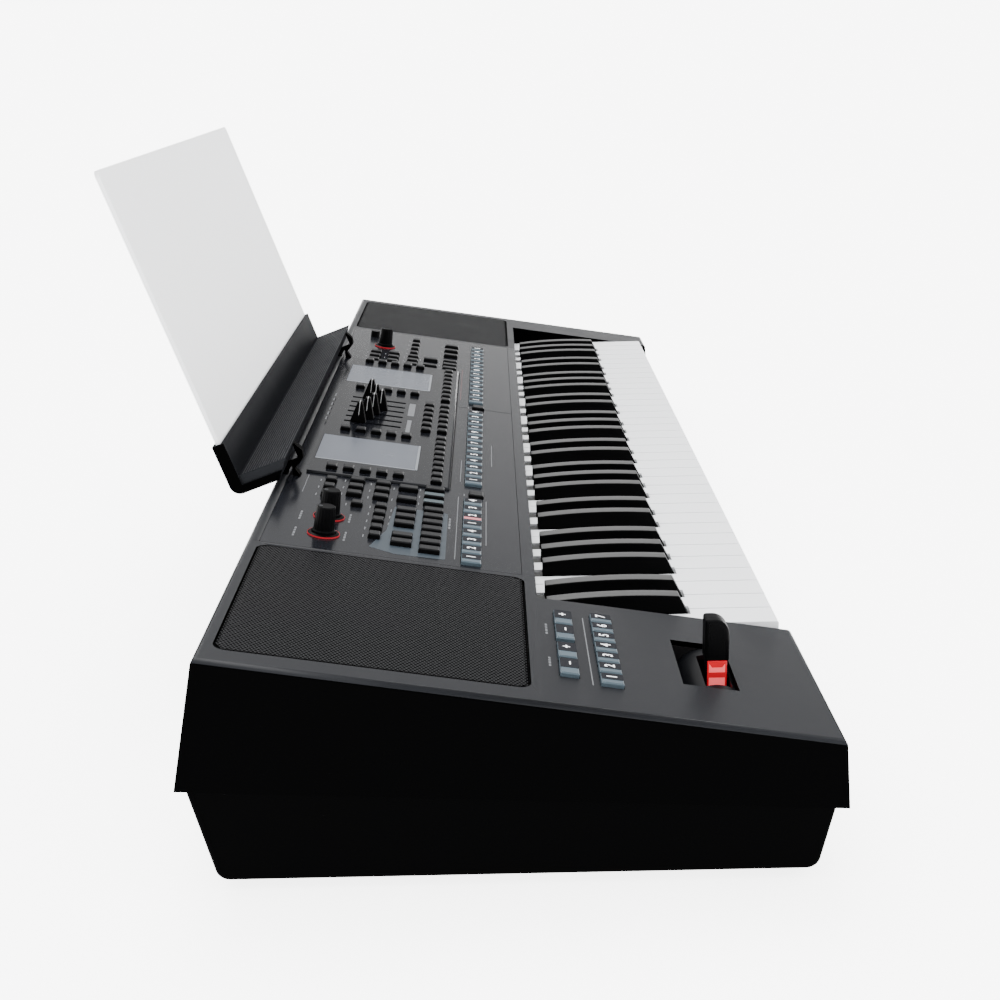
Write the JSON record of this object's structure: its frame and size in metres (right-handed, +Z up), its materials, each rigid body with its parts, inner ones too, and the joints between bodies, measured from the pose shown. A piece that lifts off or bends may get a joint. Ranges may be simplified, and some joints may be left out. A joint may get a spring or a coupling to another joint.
{
  "type": "arranger keyboard",
  "caption": "Free-standing electronic arranger keyboard with built-in speakers, displays, sliders, knobs, lit pitch lever and a lift-off music rest",
  "frame": {"origin": "on the floor under the middle of the whole instrument, music rest included", "axes": "+X to the player's right along the keys, +Y to the rear, +Z up"},
  "size_m": [1.045, 0.4044, 0.3275],
  "materials": {
    "case_black": "fine matte near-black moulded plastic",
    "case_grey": "satin charcoal moulded plastic",
    "panel_grey": "satin mid-grey panel",
    "display_grey": "satin grey raised panel",
    "grille_metal": "black perforated steel",
    "display_glass": "clear window over an unlit display",
    "display_module": "pale blue-grey unlit display",
    "key_white": "satin white key plastic",
    "key_black": "matte black key plastic",
    "chassis": "moulded chassis plastic",
    "steel": "plain steel",
    "felt": "red felt",
    "board": "green circuit board",
    "dome_rubber": "grey contact rubber",
    "button_black": "matte black cap",
    "button_slate": "milky slate-grey cap",
    "component": "black component body",
    "lit_red": "translucent red plastic",
    "speaker_paper": "black paper cone",
    "speaker_frame": "black pressed frame",
    "rest_plate": "pale grey sheet",
    "rest_tray": "dark grey moulded tray",
    "foot_rubber": "black rubber"
  },
  "bodies": {
    "case": {"lower_case": "case_black", "upper_case": "case_grey", "case_screws": "steel", "rubber_feet": "foot_rubber", "control_panel": "panel_grey", "display_windows": "display_glass", "display_modules": "display_module", "display_panel": "display_grey", "panel_board": "board", "button_switches": "component", "slider_pots": "component", "knob_pots": "component", "knob_rings": "lit_red", "stop_felts": "felt", "key_chassis": "chassis", "key_pivot_rod": "steel", "contact_board": "board", "contact_domes": "dome_rubber", "key_springs": "steel", "bender_housing": "chassis", "speaker_grilles": "grille_metal", "speaker_frames": "speaker_frame", "speaker_cones": "speaker_paper", "main_board": "board", "audio_board": "board", "rear_sockets": "component"},
    "music_rest": {"music_rest_tray": "rest_tray", "music_rest_plate": "rest_plate", "music_rest_hooks": "rest_tray"},
    "bender_drum": {"bender_drum": "button_black"},
    "bender_lever": {"bender_lever": "button_black", "bender_lens": "lit_red"},
    "power_button": {"power_button": "button_black"},
    "slider_1": {"slider_1": "button_black"},
    "slider_2": {"slider_2": "button_black"},
    "slider_3": {"slider_3": "button_black"},
    "slider_4": {"slider_4": "button_black"},
    "slider_5": {"slider_5": "button_black"},
    "slider_6": {"slider_6": "button_black"},
    "knob_1": {"knob_1": "button_black"},
    "knob_2": {"knob_2": "button_black"},
    "knob_3": {"knob_3": "button_black"},
    "white_keys_1": {"white_keys_1": "key_white"},
    "black_keys_1": {"black_keys_1": "key_black"},
    "white_keys_2": {"white_keys_2": "key_white"},
    "black_keys_2": {"black_keys_2": "key_black"},
    "white_keys_3": {"white_keys_3": "key_white"},
    "black_keys_3": {"black_keys_3": "key_black"},
    "white_keys_4": {"white_keys_4": "key_white"},
    "black_keys_4": {"black_keys_4": "key_black"},
    "white_keys_5": {"white_keys_5": "key_white"},
    "black_keys_5": {"black_keys_5": "key_black"},
    "registration_buttons": {"registration_buttons": "button_slate"},
    "octave_buttons": {"octave_buttons": "button_slate"},
    "number_buttons_left": {"number_buttons_left": "button_slate"},
    "number_buttons_middle": {"number_buttons_middle": "button_slate"},
    "number_buttons_right": {"number_buttons_right": "button_slate"},
    "left_function_buttons": {"left_function_buttons": "button_black"},
    "right_function_buttons": {"right_function_buttons": "button_black"},
    "display_buttons": {"display_buttons": "button_black"}
  },
  "joints": [
    {"name": "music_rest_lift", "type": "slide", "parent": "case", "child": "music_rest", "axis": [0, 0, 1], "range_m": [0, 0.06]},
    {"name": "bender_push", "type": "hinge", "parent": "case", "child": "bender_drum", "pos_m": [-0.44701, -0.14513, 0.0664], "axis": [-1, 0, 0], "range_deg": [0, 12], "stiffness_Nm_per_rad": 0.8, "springref_deg": -8.59},
    {"name": "bender_swing", "type": "hinge", "parent": "bender_drum", "child": "bender_lever", "pos_m": [-0.44701, -0.14733, 0.0664], "axis": [0, 1, 0], "range_deg": [-20, 20], "stiffness_Nm_per_rad": 0.5},
    {"name": "slider_1_slide", "type": "slide", "parent": "case", "child": "slider_1", "axis": [0, 0.9877, 0.1564], "range_m": [-0.02978, 0.00801]},
    {"name": "slider_2_slide", "type": "slide", "parent": "case", "child": "slider_2", "axis": [0, 0.9877, 0.1564], "range_m": [-0.02494, 0.01285]},
    {"name": "slider_3_slide", "type": "slide", "parent": "case", "child": "slider_3", "axis": [0, 0.9877, 0.1564], "range_m": [-0.02132, 0.01648]},
    {"name": "slider_4_slide", "type": "slide", "parent": "case", "child": "slider_4", "axis": [0, 0.9877, 0.1564], "range_m": [-0.01625, 0.02154]},
    {"name": "slider_5_slide", "type": "slide", "parent": "case", "child": "slider_5", "axis": [0, 0.9877, 0.1564], "range_m": [-0.02181, 0.01599]},
    {"name": "slider_6_slide", "type": "slide", "parent": "case", "child": "slider_6", "axis": [0, 0.9877, 0.1564], "range_m": [-0.02646, 0.01134]},
    {"name": "knob_1_turn", "type": "hinge", "parent": "case", "child": "knob_1", "pos_m": [-0.31434, 0.06639, 0.12015], "axis": [0, -0.1564, 0.9877], "range_deg": [-150, 150]},
    {"name": "knob_2_turn", "type": "hinge", "parent": "case", "child": "knob_2", "pos_m": [-0.28014, 0.06639, 0.12015], "axis": [0, -0.1564, 0.9877], "range_deg": [-150, 150]},
    {"name": "knob_3_turn", "type": "hinge", "parent": "case", "child": "knob_3", "pos_m": [0.27215, 0.06639, 0.12015], "axis": [0, -0.1564, 0.9877], "range_deg": [-150, 150]},
    {"name": "power_button_press", "type": "slide", "parent": "case", "child": "power_button", "axis": [0, 0.1564, -0.9877], "range_m": [0, 0.001], "stiffness_N_per_m": 1000, "springref_m": -0.0012},
    {"name": "registration_buttons_press", "type": "slide", "parent": "case", "child": "registration_buttons", "axis": [0, 0.1564, -0.9877], "range_m": [0, 0.001], "stiffness_N_per_m": 1000, "springref_m": -0.0012},
    {"name": "octave_buttons_press", "type": "slide", "parent": "case", "child": "octave_buttons", "axis": [0, 0.1564, -0.9877], "range_m": [0, 0.001], "stiffness_N_per_m": 1000, "springref_m": -0.0012},
    {"name": "number_buttons_left_press", "type": "slide", "parent": "case", "child": "number_buttons_left", "axis": [0, 0.1564, -0.9877], "range_m": [0, 0.001], "stiffness_N_per_m": 1000, "springref_m": -0.0012},
    {"name": "number_buttons_middle_press", "type": "slide", "parent": "case", "child": "number_buttons_middle", "axis": [0, 0.1564, -0.9877], "range_m": [0, 0.001], "stiffness_N_per_m": 1000, "springref_m": -0.0012},
    {"name": "number_buttons_right_press", "type": "slide", "parent": "case", "child": "number_buttons_right", "axis": [0, 0.1564, -0.9877], "range_m": [0, 0.001], "stiffness_N_per_m": 1000, "springref_m": -0.0012},
    {"name": "left_function_buttons_press", "type": "slide", "parent": "case", "child": "left_function_buttons", "axis": [0, 0.1564, -0.9877], "range_m": [0, 0.001], "stiffness_N_per_m": 1000, "springref_m": -0.0012},
    {"name": "right_function_buttons_press", "type": "slide", "parent": "case", "child": "right_function_buttons", "axis": [0, 0.1564, -0.9877], "range_m": [0, 0.001], "stiffness_N_per_m": 1000, "springref_m": -0.0012},
    {"name": "display_buttons_press", "type": "slide", "parent": "case", "child": "display_buttons", "axis": [0, 0.1564, -0.9877], "range_m": [0, 0.001], "stiffness_N_per_m": 1000, "springref_m": -0.0012},
    {"name": "white_keys_1_press", "type": "hinge", "parent": "case", "child": "white_keys_1", "pos_m": [0, -0.01072, 0.072], "axis": [1, 0, 0], "range_deg": [0, 3.15], "stiffness_Nm_per_rad": 5, "springref_deg": -11.46},
    {"name": "black_keys_1_press", "type": "hinge", "parent": "case", "child": "black_keys_1", "pos_m": [0, -0.01072, 0.072], "axis": [1, 0, 0], "range_deg": [0, 3.15], "stiffness_Nm_per_rad": 5, "springref_deg": -11.46},
    {"name": "white_keys_2_press", "type": "hinge", "parent": "case", "child": "white_keys_2", "pos_m": [0, -0.01072, 0.072], "axis": [1, 0, 0], "range_deg": [0, 3.15], "stiffness_Nm_per_rad": 5, "springref_deg": -11.46},
    {"name": "black_keys_2_press", "type": "hinge", "parent": "case", "child": "black_keys_2", "pos_m": [0, -0.01072, 0.072], "axis": [1, 0, 0], "range_deg": [0, 3.15], "stiffness_Nm_per_rad": 5, "springref_deg": -11.46},
    {"name": "white_keys_3_press", "type": "hinge", "parent": "case", "child": "white_keys_3", "pos_m": [0, -0.01072, 0.072], "axis": [1, 0, 0], "range_deg": [0, 3.15], "stiffness_Nm_per_rad": 5, "springref_deg": -11.46},
    {"name": "black_keys_3_press", "type": "hinge", "parent": "case", "child": "black_keys_3", "pos_m": [0, -0.01072, 0.072], "axis": [1, 0, 0], "range_deg": [0, 3.15], "stiffness_Nm_per_rad": 5, "springref_deg": -11.46},
    {"name": "white_keys_4_press", "type": "hinge", "parent": "case", "child": "white_keys_4", "pos_m": [0, -0.01072, 0.072], "axis": [1, 0, 0], "range_deg": [0, 3.15], "stiffness_Nm_per_rad": 5, "springref_deg": -11.46},
    {"name": "black_keys_4_press", "type": "hinge", "parent": "case", "child": "black_keys_4", "pos_m": [0, -0.01072, 0.072], "axis": [1, 0, 0], "range_deg": [0, 3.15], "stiffness_Nm_per_rad": 5, "springref_deg": -11.46},
    {"name": "white_keys_5_press", "type": "hinge", "parent": "case", "child": "white_keys_5", "pos_m": [0, -0.01072, 0.072], "axis": [1, 0, 0], "range_deg": [0, 3.15], "stiffness_Nm_per_rad": 5, "springref_deg": -11.46},
    {"name": "black_keys_5_press", "type": "hinge", "parent": "case", "child": "black_keys_5", "pos_m": [0, -0.01072, 0.072], "axis": [1, 0, 0], "range_deg": [0, 3.15], "stiffness_Nm_per_rad": 5, "springref_deg": -11.46}
  ]
}
